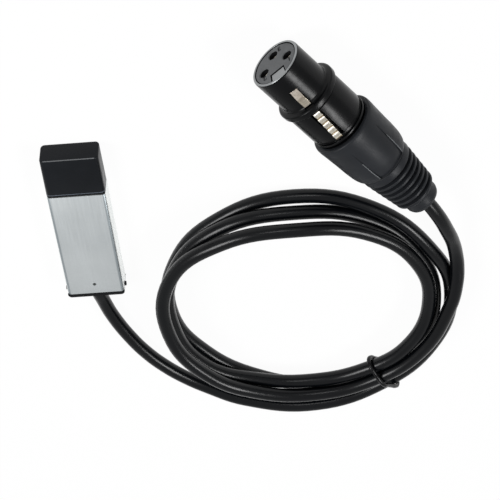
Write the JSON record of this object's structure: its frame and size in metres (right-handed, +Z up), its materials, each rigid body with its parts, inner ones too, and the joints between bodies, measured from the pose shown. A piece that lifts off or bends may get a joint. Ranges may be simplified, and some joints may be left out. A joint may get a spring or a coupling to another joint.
{
  "type": "usb dmx interface",
  "caption": "Flat aluminium USB stick with a pull-off cap, a coiled cable and a female three-pole XLR connector with push latch.",
  "frame": {"origin": "middle of the USB stick's underside, on the surface it lies on", "axes": "+Y along the stick from its cap to its cable, +X to the stick's coil-free side, +Z up"},
  "size_m": [0.1233, 0.1567, 0.0204],
  "materials": {
    "silver_case": "fine satin",
    "black_plastic": "satin",
    "steel": "smooth",
    "gold": "gold plated",
    "white_plastic": "moulded",
    "board": "lacquered",
    "chip": "moulded",
    "ceramic": "fired",
    "led": "clear tinted",
    "cord_jacket": "soft gloss",
    "wire_red": "insulated",
    "wire_white": "insulated",
    "wire_bare": "tinned braid",
    "shell_black": "gloss black",
    "insert_grey": "moulded",
    "nickel": "satin nickel",
    "boot": "fine matte"
  },
  "bodies": {
    "interface": {"board_wire_1": "wire_red", "board_wire_2": "wire_white", "board_wire_3": "wire_bare", "capacitor_1": "ceramic", "capacitor_2": "ceramic", "capacitor_3": "ceramic", "circuit_board": "board", "connector_wire_1": "wire_red", "connector_wire_2": "wire_white", "connector_wire_3": "wire_bare", "cord_coil": "cord_jacket", "cord_ferrule": "steel", "cord_tie": "black_plastic", "cord_usb_lead": "cord_jacket", "cord_xlr_lead": "cord_jacket", "crystal": "steel", "front_bezel": "black_plastic", "housing_tube": "silver_case", "interface_chip": "chip", "latch_spring": "steel", "line_driver_chip": "chip", "rear_end_cap": "black_plastic", "resistor_1": "chip", "resistor_2": "chip", "status_led": "led", "usb_contact_1": "gold", "usb_contact_2": "gold", "usb_contact_3": "gold", "usb_contact_4": "gold", "usb_plug_shell": "steel", "usb_tongue": "white_plastic", "xlr_boot": "boot", "xlr_chuck": "white_plastic", "xlr_contact_1": "gold", "xlr_contact_2": "gold", "xlr_contact_3": "gold", "xlr_insert": "insert_grey", "xlr_shell": "shell_black"},
    "cap": {"usb_cap": "black_plastic"},
    "latch": {"xlr_latch": "nickel"}
  },
  "joints": [
    {"name": "cap_pull", "type": "slide", "parent": "interface", "child": "cap", "axis": [0, -1, 0], "range_m": [0, 0.02]},
    {"name": "latch_press", "type": "hinge", "parent": "interface", "child": "latch", "pos_m": [-0.07877, -0.04053, 0.01654], "axis": [0.8054, 0.564, 0.1822], "range_deg": [0, 3.4], "stiffness_Nm_per_rad": 0.1, "springref_deg": -5.73}
  ]
}
